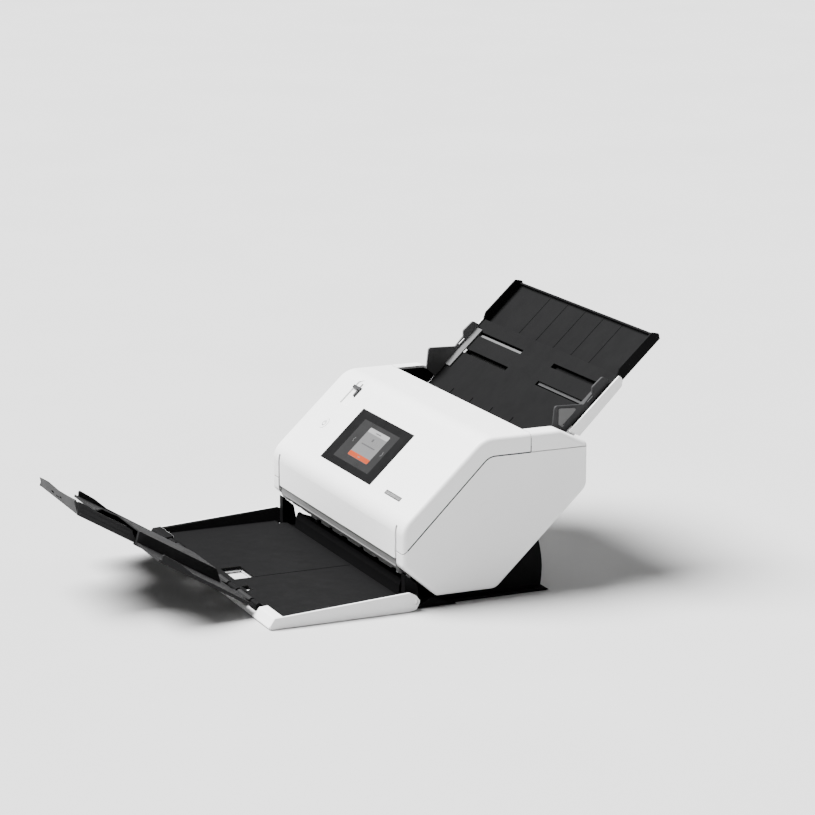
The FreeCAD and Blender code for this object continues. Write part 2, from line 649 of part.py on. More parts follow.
def make_drive():
    conveyor_phase = 0.0
    lower_phase = meshing_phase(GEAR_TEETH, conveyor_phase, CONVEYOR, IDLER_TEETH, LOWER_IDLER)
    feed_phase = meshing_phase(IDLER_TEETH, lower_phase, LOWER_IDLER, GEAR_TEETH, FEED)
    upper_phase = meshing_phase(GEAR_TEETH, feed_phase, FEED, IDLER_TEETH, UPPER_IDLER)
    pickup_phase = meshing_phase(IDLER_TEETH, upper_phase, UPPER_IDLER, GEAR_TEETH, PICKUP)
    pinion_phase = meshing_phase(IDLER_TEETH, lower_phase, LOWER_IDLER, PINION_TEETH, MOTOR)
    pulley = tube(PULLEY_RADIUS, SHAFT, GEAR_X[1], BELT_X[1], CONVEYOR)
    conveyor_gear = gear(GEAR_TEETH, 1.0, conveyor_phase, *GEAR_X, CONVEYOR, SHAFT)
    part("conveyor_gear", conveyor_gear.fuse(pulley))
    part("feed_gear", gear(GEAR_TEETH, 1.0, feed_phase, *GEAR_X, FEED, SHAFT))
    part("pickup_gear", gear(GEAR_TEETH, 1.0, pickup_phase, *GEAR_X, PICKUP, SHAFT))
    part("lower_idler_gear", gear(IDLER_TEETH, 1.0, lower_phase, *GEAR_X, LOWER_IDLER, 3 + SHAFT_FIT))
    part("upper_idler_gear", gear(IDLER_TEETH, 1.0, upper_phase, *GEAR_X, UPPER_IDLER, 3 + SHAFT_FIT))
    pinion = gear(PINION_TEETH, 1.0, pinion_phase, *GEAR_X, MOTOR, 2)
    part("motor_pinion", pinion.fuse(rod(2.5, GEAR_X[0], -150, MOTOR)))
    body = rod(MOTOR_RADIUS, -184, -138, MOTOR).cut(rod(2.5 + SHAFT_FIT, -190, -149, MOTOR))
    part("feed_motor", body.fuse(box(-186.4, -184, MOTOR[0] - 20, MOTOR[0] + 14, MOTOR[1] - 10, MOTOR[1] + 10)
                                 .cut(rod(4, -190, -180, MOTOR))))
    inner = PULLEY_RADIUS + BELT_GAP
    belt = belt_loop(inner + BELT_THICK, *BELT_X).cut(belt_loop(inner, BELT_X[0] - 1, BELT_X[1] + 1))
    part("exit_drive_belt", belt)


def make_electronics():
    board = box(50, 170, 93, 94.6, 128, 168)
    chips = [box(62, 84, 91.2, 93, 148, 160), box(96, 106, 91.6, 93, 134, 144),
             box(126, 158, 90.5, 93, 132, 150)]
    part("main_board", union([board] + chips))
    x0, x1, z0, z1 = PORT_OPENINGS[0]
    inlet = box(x0 + 0.5, x1 - 0.5, 94.7, REAR_Y - 0.6, z0 + 0.5, z1 - 0.5)
    cavity = box(x0 + 5, x1 - 5, 99, REAR_Y + 1, z0 + 6, z1 - 6)
    inlet = inlet.cut(cavity)
    pins = [Part.makeCylinder(1.2, 10, V((x0 + x1) / 2 + dx, 99, (z0 + z1) / 2), V(0, 1, 0))
            for dx in (-4.3, 4.3)]
    sockets = [inlet.fuse(pins)]
    for x0, x1, z0, z1 in PORT_OPENINGS[1:]:
        socket = box(x0 + 0.4, x1 - 0.4, 94.7, REAR_Y - 0.6, z0 + 0.4, z1 - 0.4)
        sockets.append(socket.cut(box(x0 + 1.6, x1 - 1.6, 100, REAR_Y + 1, z0 + 2, z1 - 2)))
    part("rear_sockets", sockets)


# ---- inside the front cover ---------------------------------------------------------
def make_cover_inside():
    low, high = GUIDE_GAP, GUIDE_GAP + 2.5
    wall = bar([(-112, 60), (-66, 55), on_path(-62, low), on_path(17, low), (31.5, 186), (33, 199),
                (30.5, 199), (28.8, 187), on_path(15, high), on_path(-62, high), (-66, 58), (-112, 63)],
               -FRAME_PLATE_OUT, FRAME_PLATE_OUT)
    tools = tyre_windows(PATH_TYRES, CONVEYOR_ALONG, 8, 0, 8)
    tools += tyre_windows(FEED_TYRES, FEED_ALONG, 11, 0, 8)
    tools.append(glass_window(0, 8))
    wall = cut_all(wall, tools)
    side = both_sides(frame_plate)
    lugs = []
    for x, centre, bore, along in ((152, CONVEYOR_PINCH, 2.5, CONVEYOR_ALONG), (60, RETARD, 3.0, FEED_ALONG)):
        top = 16 if x > 100 else 19
        for x0 in (x, -x - 3):
            lug = path_box(x0, x0 + 3, along - 8, along + 8, high - 0.5, top)
            lugs.append(lug.cut(rod(bore + SHAFT_FIT, -200, 200, centre)))
    part("cover_frame", [union([wall] + side + lugs), front_lip()] + both_sides(cover_latch))
    part("upper_sensor_housing", sensor_housing(high + 0.3, 22, 1))
    part("upper_sensor_glass", path_box(-GLASS_HALF, GLASS_HALF, *GLASS_ALONG, low + 0.15, high + 0.2))


def frame_plate():
    """Side plate of the cover frame with its hinge ear and a lightening hole."""
    outline = [(-124, 50, 3), (-124, 62), (-127, 66), (-127, 100, 12), (-30, 192, 10), (26, 198), (28.5, 187),
               on_path(15, 3), on_path(-62, 3), (-66, 57), (-108, 60), (-110, 49, 4)]
    plate = bar(outline, FRAME_PLATE_IN, FRAME_PLATE_OUT)
    plate = plate.cut(bar([(-110, 80, 6), (-110, 100, 6), (-40, 165, 6), (-10, 165, 6), (-25, 122, 6),
                           (-70, 78, 6)], FRAME_PLATE_IN - 1, FRAME_PLATE_OUT + 1))
    return plate.cut(rod(COVER_PIN + PIN_FIT, FRAME_PLATE_IN - 1, FRAME_PLATE_OUT + 1, COVER_AXIS))


def front_lip():
    """Grey lip that closes the gap under the nose, with a stepped lower edge and a block at its end."""
    lip = bar([(-132.2, NOSE_BOTTOM - 0.6), (-131.9, 51.4), (-132.6, 50.4, 1), (-129.6, 44.8), (-127.4, 45.6),
               (-129.8, 52), (-128.6, 67), (-130.7, 67), (-130.7, NOSE_BOTTOM - 0.6)], -188, 188)
    for x in range(-160, 181, 34):
        lip = lip.cut(box(x - 5, x + 5, -135, -125, 40, 46.4))
    return lip.fuse(box(184, 188, -129.6, -126.8, 41.6, 46))


def cover_latch():
    """Sprung hook that hangs from the cover beside the chassis."""
    return bar([(22, TOP_Z - WALL), (30, TOP_Z - WALL), (30, 168), (26, 162), (20, 166), (24, 170),
                (24, 190)],
               189.4, 192.4)


def make_controls():
    x0, x1, up0, up1 = SCREEN
    g0, g1, h0, h1 = GLASS
    bezel = slope_box(x0, x1, up0, up1, -0.3, BEZEL_DEPTH)
    bezel = bezel.cut(slope_box(g0 - 0.1, g1 + 0.1, h0 - 0.1, h1 + 0.1, -2, 3))
    part("screen_bezel", bezel)
    part("screen_glass", slope_box(g0, g1, h0, h1, -0.1, BEZEL_DEPTH))
    part("screen_panel", slope_box(x0 + 7, x1 - 7, up0 + 7, up1 - 7, BEZEL_DEPTH + 0.05, 7))
    cap = slope_rod(BUTTON_RADIUS, BUTTON_X, BUTTON_UP, -0.4, 3.5)
    stem = slope_rod(2.5, BUTTON_X, BUTTON_UP, 3.4, 8.6)
    part("power_button", cap.fuse(stem))
    board = slope_box(-172, 78, 22, 90, 12, 13.6)
    switch = slope_box(BUTTON_X - 3.5, BUTTON_X + 3.5, BUTTON_UP - 3.5, BUTTON_UP + 3.5, 10.3, 12)
    part("control_board", board.fuse(switch))
    knob = slope_box(LEVER_MIDDLE - 11.5, LEVER_MIDDLE + 11.5, 127, 131.5, -2.2, LEVER_RECESS - 0.3)
    hook = slope_box(LEVER_MIDDLE + 4, LEVER_MIDDLE + 8, 117, 127.5, -0.6, LEVER_RECESS - 0.3)
    stem = slope_box(LEVER_MIDDLE - 1.6, LEVER_MIDDLE + 1.6, 126.5, 131, 0, 5.1)
    plate = slope_box(LEVER_MIDDLE - 13, LEVER_MIDDLE + 13, 113, 137.6, 5, 6.5)
    part("feed_lever", union([knob, hook, stem, plate]))


# ---- output tray --------------------------------------------------------------------
TRAY_HALF = 220.0
TRAY_WALL = 3.0
TRAY_FLOOR = 8.0
TRAY_FRONT = -303.0
FINGER_HOLE = (-24.0, 27.0, -281.0, -254.0)
FLAP_HALF = 163.0
FLAP_END = 146.0
TUNNEL_END = 150.0
CHANNEL_HALF = 77.5
TRAY_KNUCKLES = [(60, 88), (138, 158)]
FLAP_KNUCKLES = [(22, 56), (92, 134)]
KNUCKLE_RADIUS = 3.8
KNUCKLE_GAP = 0.5
FLAP_PIN = 1.6


def tray_side_zone(x0, x1):
    """The tray's side outline: low at the front, higher and nosed at the hinge."""
    return bar([(-312, 0.8, 3), (TRAY_FRONT, 14.1, 3), (-127.5, 24.4, 3), (-119, 20, 3), (-113.5, 12.5, 4),
                (-119, 2.5, 3), (-128, 0.8, 2)], x0, x1)


def make_tray():
    wall = both_sides(lambda: tray_side_zone(TRAY_HALF - TRAY_WALL, TRAY_HALF)
                      .cut(rod(PIN_RADIUS + PIN_FIT, 200, 230, TRAY_AXIS)))
    bottom = box(-TRAY_HALF + TRAY_WALL, TRAY_HALF - TRAY_WALL, -303, -135, 0.8, 2.8)
    corners = both_sides(lambda: bar([(-312, 0.8, 2), (TRAY_FRONT, 14.3, 3), (-292, 14.9), (-292, 0.8)],
                                     168, TRAY_HALF - 2))
    front = bar([(-312, 0.8, 2), (-307.2, 6.5, 1), (-292, 6.5), (-292, 0.8)], -170, 170)
    x0, x1, y0, y1 = FINGER_HOLE
    shell = union(wall + [bottom, front] + corners)
    shell = shell.cut(box(x0 - 1, x1 + 1, y0 - 1, y1 + 1, -1, 9))
    pads = both_sides(lambda: box(150, 190, -290, -280, 0, 0.9))
    left_corner = shell.common(box(-TRAY_HALF - 1, -167, -320, -292.2, 0, 30))
    shell = shell.cut(box(-TRAY_HALF - 1, -166.9, -320, -292.1, -1, 30))
    part("tray_shell", union([shell] + pads))
    pins = both_sides(lambda: rod(FLAP_PIN, 22.5, 157.5, FLAP_AXIS))
    part("tray_plate", [union([tray_plate()] + pins), left_corner])


def tray_plate():
    inner = TRAY_HALF - TRAY_WALL - 0.3
    floor = box(-inner, inner, -291, -122.6, 5.5, TRAY_FLOOR)
    rim = Part.Face(Part.makePolygon([V(208, -291, 5.5), V(inner, -291, 5.5), V(inner, -291, 30),
                                      V(inner - 1.8, -291, 30),
                                      V(208, -291, TRAY_FLOOR)] + [V(208, -291, 5.5)]))
    rim = rim.extrude(V(0, 291 - 122.6, 0)).common(tray_side_zone(200, TRAY_HALF))
    rims = [rim, rim.mirror(V(0, 0, 0), X_AXIS)]
    stiffener = bar([(-135.5, 2.9), (-135.5, TRAY_FLOOR), (-138.5, TRAY_FLOOR), (-138.5, 2.9)], -190, 190)
    knuckles = []
    for x0, x1 in TRAY_KNUCKLES:
        lug = bar([(-304, 6.8), (-304, 12), (-296, 12), (-286, 8), (-286, 6.8)], x0, x1)
        lug = lug.fuse(rod(KNUCKLE_RADIUS, x0, x1, FLAP_AXIS))
        lug = lug.cut(rod(FLAP_PIN, x0 - 1, x1 + 1, FLAP_AXIS))
        knuckles += [lug, lug.mirror(V(0, 0, 0), X_AXIS)]
    plate = union([floor, stiffener] + rims + knuckles)
    x0, x1, y0, y1 = FINGER_HOLE
    plate = plate.cut(bar([(y0, 0, 0.1), (y0, 30, 0.1), (y1, 30, 0.1), (y1, 0, 0.1)], x0, x1))
    plate = plate.cut(box(59, 79, -284, -276, 0, 30))
    for x0, x1 in FLAP_KNUCKLES:
        for low, high in ((x0, x1), (-x1, -x0)):
            plate = plate.cut(box(low - 1, high + 1, -300, -288.5, 0, 30))
    for low, high in ((POST_IN - 1.5, POST_OUT + 1), (-POST_OUT - 1, -POST_IN + 1.5)):
        plate = plate.cut(box(low, high, -134, -110, 0, 30))
    channel = box(-0.8, 0.8, -254, -124, TRAY_FLOOR - 0.6, TRAY_FLOOR + 1)
    channel.translate(V(27, 0, 0))
    plate = plate.cut(channel)
    return max(plate.Solids, key=lambda s: s.Volume)


# outline of the raised middle, across (x, up): high on the right, sloping down to the left
HOOD_OUTER = [(-80, 0.5), (-80, 5.4), (-70, 6.2), (-56, 11.4), (-23, 13.9), (0, 16.6), (83, 16.6), (83, 0.5)]
HOOD_INNER = [(-77.5, 0.4), (-77.5, 3.8), (-70, 4.6), (-56, 9.8), (-23, 12.3), (0, 15), (77.5, 15),
              (77.5, 0.4)]
HOOD_FRONT = 20.0            # foot of its sloping near end


def make_flap():
    """First extension: floor, stepped side rims, and the tunnel that the second one slides in."""
    floor_near = flap_box(-FLAP_HALF, FLAP_HALF, 9, 24, 0.5, 3.5)
    floors = [floor_near] + both_sides(lambda: flap_box(CHANNEL_HALF, FLAP_HALF, 9, FLAP_END, 0.5, 3.5))
    rims = both_sides(lambda: flap_bar([(9, 0.5), (9, 4.2), (98, 5.2, 8), (119, 9.2, 12), (145, 10.8, 2),
                                        (FLAP_END - 6, 0.5)], FLAP_HALF - 3, FLAP_HALF))
    hood = flap_prism(HOOD_OUTER, HOOD_FRONT, TUNNEL_END)
    hood = hood.cut(flap_bar([(HOOD_FRONT - 1, 0.4), (HOOD_FRONT + 16, 17), (HOOD_FRONT - 9, 17)], -90, 90))
    hood = hood.cut(flap_bar([(FLAP_END, 0.4), (TUNNEL_END + 0.5, 17.2), (TUNNEL_END + 5, 0.4)], -90, 90))
    hollow = flap_prism(HOOD_INNER, HOOD_FRONT, TUNNEL_END + 5)
    hollow = hollow.cut(flap_bar([(HOOD_FRONT - 1, 0.3), (HOOD_FRONT + 2, 0.3), (HOOD_FRONT + 19, 17),
                                  (HOOD_FRONT - 9, 17)], -90, 90))
    lips = both_sides(lambda: flap_box(CHANNEL_HALF - 5, CHANNEL_HALF + 2.5, 88, FLAP_END, -1.4, 0.6))
    deep_floor = [flap_box(-CHANNEL_HALF - 2.5, CHANNEL_HALF + 2.5, 21, 90, -1.4, 0.6)]
    knuckles = []
    for x0, x1 in FLAP_KNUCKLES:
        x0, x1 = x0 + KNUCKLE_GAP, x1 - KNUCKLE_GAP
        lug = flap_box(x0, x1, 0, 10, 0.9, 4.2).fuse(rod(KNUCKLE_RADIUS, x0, x1, FLAP_AXIS))
        lug = lug.cut(rod(FLAP_PIN + PIN_FIT, x0 - 1, x1 + 1, FLAP_AXIS))
        knuckles += [lug, lug.mirror(V(0, 0, 0), X_AXIS)]
    part("output_extension", union(floors + rims + [hood.cut(hollow)] + lips + deep_floor + knuckles))


SECOND_HALF = 76.5
SECOND_OUT = (92.0, 228.0)
STOPPER_AXIS_LOCAL = (226.5, 3.7)


def flap_point(out, up):
    angle = math.radians(FLAP_ANGLE)
    y = FLAP_FOOT[0] - out * math.cos(angle) + up * math.sin(angle)
    z = FLAP_FOOT[1] + out * math.sin(angle) + up * math.cos(angle)
    return (y, z)


STOPPER_AXIS = flap_point(*STOPPER_AXIS_LOCAL)


STOPPER_PIN = 1.6


def make_second_extension():
    """Floor with a high right wall and a low left one, which carry the stopper's pins."""
    start, end = SECOND_OUT
    floor = flap_box(-SECOND_HALF, SECOND_HALF, start, end, 0.8, 3.0)
    right_wall = flap_bar([(start, 0.8), (start, 3.3), (146, 3.3), (157, 13.4, 5), (168, 14.7), (211, 14.7),
                           (222, 16.2), (236, 16.2, 1), (end + 1, 0.8)], SECOND_HALF - 2.2, SECOND_HALF)
    ridges = [flap_box(SECOND_HALF - 0.5, SECOND_HALF + 0.5, 158, 229, up, up + 0.9) for up in (5.2, 10.2)]
    left_wall = flap_bar([(start, 0.8), (start, 3.3), (219, 3.3), (222, 6, 1), (230, 6, 1), (end + 1, 0.8)],
                         -SECOND_HALF, -SECOND_HALF + 2.2)
    ribs = [flap_box(x - 1.2, x + 1.2, start + 4, 222, 2.9, 4.0) for x in (-50, -25, 0, 25, 50)]
    shape = union([floor, right_wall, left_wall] + ridges + ribs)
    relief = rod(3.6, -SECOND_HALF + 2.4, SECOND_HALF - 2.4, STOPPER_AXIS)
    shape = shape.cut(relief)
    shape = shape.cut(rod(STOPPER_PIN + PIN_FIT, -100, 100, STOPPER_AXIS))
    part("output_extension_end", shape)


def make_stopper():
    """Flip-up stop across the end, leaning outwards, with slots and an uneven top edge."""
    half = SECOND_HALF - 2.8
    blade = flap_bar([(225.2, 1.8), (227.5, 0.9), (240.3, 14.2, 0.8), (238.2, 16.6, 0.8)], -half, half)
    top = [(-80, 3.6), (-71, 3.6), (-69, 11), (-40, 13), (0, 12), (40, 14), (half, 16.5), (half + 9, 16.5),
           (half + 9, 40), (-80, 40)]
    blade = blade.cut(flap_prism(top, 215, 255))
    barrels = both_sides(lambda: rod(2.5, 58, half, STOPPER_AXIS))
    barrels += both_sides(lambda: rod(STOPPER_PIN, 58, half + 2.4, STOPPER_AXIS))
    for x0, x1, up0, up1 in ((-25, -15, 4.6, 6.6), (-8, 5, 4, 5.2), (8, 15, 5, 6.8)):
        blade = blade.cut(flap_box(x0, x1, 222, 245, up0, up1))
    part("output_stopper", union([blade] + barrels))


# ---- input tray ---------------------------------------------------------------------
INPUT_END = 243.0
INPUT_HALF = 190.0
WING_HALF = 197.0
PLATE_THICK = 2.4
SHELL_FLOOR = (-11.5, -9.0)
RACK_HEIGHTS = (-5.7, -2.8)
PINION_ALONG = 205.0
RACK_MODULE = 1.5
RACK_PINION_TEETH = 14
RACK_PITCH = math.pi * RACK_MODULE
PINION_PITCH_RADIUS = RACK_PINION_TEETH * RACK_MODULE / 2
RACK_LINE = PINION_PITCH_RADIUS + MESH_PLAY
SLOT_SPAN = (44.0, 191.0)
GUIDE_X = (186.4, 189.4)


def make_input_tray():
    pan = path_box(-INPUT_HALF, INPUT_HALF, 76, INPUT_END, SHELL_FLOOR[0], -0.2)
    pan = pan.cut(path_box(-INPUT_HALF + 2.4, INPUT_HALF - 2.4, 70, INPUT_END + 5, SHELL_FLOOR[1], 5))
    wing_outline = [(148.5, 0.8), (154.5, -14), (176, -13.5), (236, -11.5, 5), (INPUT_END, -5, 4),
                    (INPUT_END, 0.8, 2)]
    wings = both_sides(lambda: path_bar(wing_outline, WING_HALF - 2.8, WING_HALF))
    floors = both_sides(lambda: path_box(INPUT_HALF - 3, WING_HALF - 2, 156, 236, *SHELL_FLOOR))
    ends = both_sides(lambda: path_bar([(148.7, 0.3), (154.7, -13.5), (157, -13.5), (151, 0.3)],
                                       INPUT_HALF - 0.5, WING_HALF - 2))
    shell = union([pan] + wings + floors + ends)
    rim_way = both_sides(lambda: path_box(INPUT_HALF - 3, WING_HALF - 3.1, 157.5, INPUT_END + 5,
                                          SHELL_FLOOR[1], 9))
    shell = cut_all(shell, rim_way)
    part("input_tray_shell", shell)
    plate = path_box(-INPUT_HALF + 2.7, INPUT_HALF - 2.7, 74, INPUT_END - 0.5, -PLATE_THICK, 0)
    edges = both_sides(lambda: path_box(INPUT_HALF - 3, INPUT_HALF - 0.2, 158, INPUT_END - 0.5,
                                        -PLATE_THICK, 0))
    plate = union([plate] + edges)
    for low, high in (SLOT_SPAN, (-SLOT_SPAN[1], -SLOT_SPAN[0])):
        for along in (PINION_ALONG - 15.2, PINION_ALONG + 15.2):
            plate = plate.cut(path_box(low, high, along - 3.4, along + 3.4, -5, 2))
    ribs = [path_box(x - 1, x + 1, 82, 134, -0.1, 0.8) for x in (-120, -60, 0, 60, 120)]
    stud = flat_cylinder(3.0, PINION_ALONG, RACK_HEIGHTS[0], -PLATE_THICK)
    liner_zone = bar([(TOP_SEAM_Y + SEAM_GAP, SEAM_BEND[1] + SEAM_GAP), (TOP_SEAM_Y + SEAM_GAP, TOP_Z),
                      (REAR_Y, TOP_Z), (REAR_Y, SEAM_BEND[1] + SEAM_GAP)], *CHEEK_LINER)
    liner = liner_zone.common(body_inside(WALL + 0.2, HALF))
    liners = [liner, liner.mirror(V(0, 0, 0), X_AXIS)]
    part("input_tray_plate", [union([plate, stud] + ribs)] + liners)


def flat_cylinder(radius, along, low, high):
    """Cylinder standing square on the input tray."""
    peg = Part.makeCylinder(radius, high - low, V(0, PATH_ORIGIN[0] + along, PATH_ORIGIN[1] + low),
                            V(0, 0, 1))
    return turned(peg, PATH_ANGLE, PATH_ORIGIN)


def flat_outline(points, low, high):
    """Prism on the input tray from an (x, along) outline."""
    corners = [V(x, PATH_ORIGIN[0] + along, PATH_ORIGIN[1] + low) for x, along in points]
    face = Part.Face(Part.makePolygon(corners + corners[:1]))
    return turned(face.extrude(V(0, 0, high - low)), PATH_ANGLE, PATH_ORIGIN)


def rack(side):
    """Toothed bar of one edge guide; the right one lies in front of the pinion."""
    line = PINION_ALONG - side * RACK_LINE
    root = line - side * RACK_MODULE * 1.15
    tip = line + side * RACK_MODULE * 0.9
    back = root - side * 3.6
    start, end = -3, 39
    points = []
    for i in range(start, end):
        middle = side * i * RACK_PITCH
        for across, level in ((-0.277, root), (-0.109, tip), (0.109, tip), (0.277, root)):
            points.append((middle + side * across * RACK_PITCH, level))
    first_x = side * (start - 0.5) * RACK_PITCH
    last_x = side * GUIDE_X[0]
    outline = [(first_x, back), (first_x, root)] + points + [(last_x, root), (last_x, back)]
    return flat_outline(outline, *RACK_HEIGHTS)


def edge_guide(side):
    x0, x1 = GUIDE_X
    wall = path_bar([(139, 0.4), (137, 17), (158.5, 35.5, 4), (186.5, 7.5), (204, 9),
                     (209, 14.5, 4), (228, 13.5, 4),
                     (231, 4), (226, 0.4)], x0, x1)
    wall = wall.cut(path_box(x0 - 1, x1 + 1, 192, 203, 4.2, 6.4))
    foot_along = PINION_ALONG - side * 15.2
    base = path_box(171, x0 + 0.5, 160, 226, 0.4, 2.2)
    foot = path_box(178, x0 + 0.2, foot_along - 2.6, foot_along + 2.6, RACK_HEIGHTS[0], 0.5)
    shape = union([wall, base, foot])
    if side < 0:
        shape = shape.mirror(V(0, 0, 0), X_AXIS)
    return union([shape, rack(side)])


def guide_insert():
    """Lighter triangular plate on the outer face of the guide's first fin."""
    plate = path_bar([(147.5, 8.5), (146, 15), (160, 29.5, 2), (177.5, 11.5, 2)],
                     GUIDE_X[1] + 0.02, GUIDE_X[1] + 1.0)
    return plate.cut(path_box(GUIDE_X[0], GUIDE_X[1] + 3, 150, 172, 9.4, 10.6))


def make_guides():
    part("edge_guide_right", edge_guide(1))
    part("edge_guide_left", edge_guide(-1))
    insert = guide_insert()
    part("guide_insert_right", insert)
    part("guide_insert_left", insert.mirror(V(0, 0, 0), X_AXIS))
    quarter = -math.pi / 2 + math.pi / RACK_PINION_TEETH
    points = gear_face(RACK_PINION_TEETH, RACK_MODULE, quarter)
    wheel = flat_outline([(x, PINION_ALONG + s) for x, s in points],
                         RACK_HEIGHTS[0] + 0.2, RACK_HEIGHTS[1] - 0.1)
    part("guide_pinion", wheel.cut(flat_cylinder(3 + SHAFT_FIT, PINION_ALONG, -10, 3)))


EXTENSION_START = 207.0


def make_input_extension():
    plate = path_box(-WING_HALF + 3.6, WING_HALF - 3.6, EXTENSION_START, 314, -8.4, -6.4)
    rims = both_sides(lambda: path_bar([(EXTENSION_START, -8.4), (EXTENSION_START, 0.2), (240, 0.6),
                                        (250, 6, 4), (311, 5.6, 3), (317, -2.5, 2), (313, -8.4, 2)],
                                       WING_HALF - 6.4, WING_HALF - 3.6))
    ribs = [path_box(x - 1, x + 1, 246, 310, -6.5, -5.9) for x in (-100, -50, 0, 50, 100)]
    lip = path_box(-WING_HALF + 4, WING_HALF - 4, 311.5, 314, -8.4, -2.4)
    part("input_extension", union([plate, lip] + rims + ribs))


def make_screws():
    """Pan head screws in the rear cover."""
    heads = []
    for x in (-160, -60, 20):
        head = Part.makeCylinder(3, 1.2, V(x, REAR_Y, 150), V(0, 1, 0))
        slot = Part.makeBox(4, 1, 0.8, V(x - 2, REAR_Y + 0.7, 149.6))
        heads.append(head.cut(slot))
    part("case_screws", heads)


def main():
    make_base()
    make_covers(body_block())
    make_chassis()
    make_lower_guide()
    make_exit_guide()
    make_rollers()
    make_drive()
    make_electronics()
    make_cover_inside()
    make_controls()
    make_tray()
    make_flap()
    make_second_extension()
    make_stopper()
    make_input_tray()
    make_guides()
    make_input_extension()
    make_screws()
    os.makedirs("parts", exist_ok=True)
    for name, shape in PARTS.items():
        shape.exportStep("parts/" + name + ".step")
        valid = shape.isValid()
        print(name, len(shape.Solids), round(shape.Volume / 1000, 1), "cm3", "" if valid else "NOT VALID")
    print(len(PARTS), "nodes")


main()
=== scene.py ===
import json
import math

import bmesh
import bpy
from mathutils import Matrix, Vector


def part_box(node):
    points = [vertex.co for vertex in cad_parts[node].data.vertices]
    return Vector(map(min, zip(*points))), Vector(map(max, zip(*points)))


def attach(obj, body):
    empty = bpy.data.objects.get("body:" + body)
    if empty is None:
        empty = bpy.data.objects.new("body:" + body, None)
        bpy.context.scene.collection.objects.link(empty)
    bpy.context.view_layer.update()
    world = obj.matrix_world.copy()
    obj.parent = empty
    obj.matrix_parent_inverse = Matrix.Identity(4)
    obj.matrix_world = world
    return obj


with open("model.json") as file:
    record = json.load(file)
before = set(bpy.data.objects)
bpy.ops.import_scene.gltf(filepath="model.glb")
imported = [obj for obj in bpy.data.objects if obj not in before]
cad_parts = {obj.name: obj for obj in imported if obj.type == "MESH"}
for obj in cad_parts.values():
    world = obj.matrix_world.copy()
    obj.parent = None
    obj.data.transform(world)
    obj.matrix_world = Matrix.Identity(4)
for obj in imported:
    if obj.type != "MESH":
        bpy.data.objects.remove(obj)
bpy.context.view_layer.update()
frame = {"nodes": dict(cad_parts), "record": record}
NODES = frame["nodes"]
MM = 0.001


# ---- materials ----------------------------------------------------------------------
def new_material(name):
    """Node material with a Principled shader, and object coordinates at true scale."""
    material = bpy.data.materials.new(name)
    material.use_nodes = True
    tree = material.node_tree
    shader = tree.nodes["Principled BSDF"]
    place = tree.nodes.new("ShaderNodeTexCoord")
    return material, tree, shader, place.outputs["Object"]


def noise(tree, coords, size, detail=3.0, rough=0.55):
    """Noise whose features are about `size` metres across."""
    node = tree.nodes.new("ShaderNodeTexNoise")
    tree.links.new(coords, node.inputs["Vector"])
    node.inputs["Scale"].default_value = 1.0 / size
    node.inputs["Detail"].default_value = detail
    node.inputs["Roughness"].default_value = rough
    return node.outputs["Fac"]


def spread(tree, value, low, high, from_low=0.3, from_high=0.7):
    """Maps the middle of a noise onto low to high."""
    node = tree.nodes.new("ShaderNodeMapRange")
    tree.links.new(value, node.inputs["Value"])
    node.inputs["From Min"].default_value = from_low
    node.inputs["From Max"].default_value = from_high
    node.inputs["To Min"].default_value = low
    node.inputs["To Max"].default_value = high
    return node.outputs["Result"]


def blend_colours(tree, factor, first, second):
    """Mixes two colours, each a tuple or another node's output."""
    node = tree.nodes.new("ShaderNodeMix")
    node.data_type = "RGBA"
    tree.links.new(factor, node.inputs["Factor"])
    first_colour, second_colour = node.inputs[6], node.inputs[7]
    for socket, colour in ((first_colour, first), (second_colour, second)):
        if isinstance(colour, tuple):
            socket.default_value = (*colour, 1.0)
        else:
            tree.links.new(colour, socket)
    mixed_colour = node.outputs[2]
    return mixed_colour


def edge_mask(tree, radius):
    """1 on sharp edges and 0 on flat faces, from the rounded normal."""
    bevel = tree.nodes.new("ShaderNodeBevel")
    bevel.samples = 4
    bevel.inputs["Radius"].default_value = radius
    plain = tree.nodes.new("ShaderNodeNewGeometry")
    dot = tree.nodes.new("ShaderNodeVectorMath")
    dot.operation = "DOT_PRODUCT"
    tree.links.new(bevel.outputs["Normal"], dot.inputs[0])
    tree.links.new(plain.outputs["Normal"], dot.inputs[1])
    return spread(tree, dot.outputs["Value"], 1.0, 0.0, 0.75, 0.99), bevel.outputs["Normal"]


def bump(tree, shader, height, depth, normal=None):
    node = tree.nodes.new("ShaderNodeBump")
    tree.links.new(height, node.inputs["Height"])
    node.inputs["Distance"].default_value = depth
    node.inputs["Strength"].default_value = 1.0
    if normal is not None:
        tree.links.new(normal, node.inputs["Normal"])
    tree.links.new(node.outputs["Normal"], shader.inputs["Normal"])


def shifted(colour, factor):
    """A lighter or darker shade of a colour."""
    return tuple(min(1.0, c * factor) for c in colour)


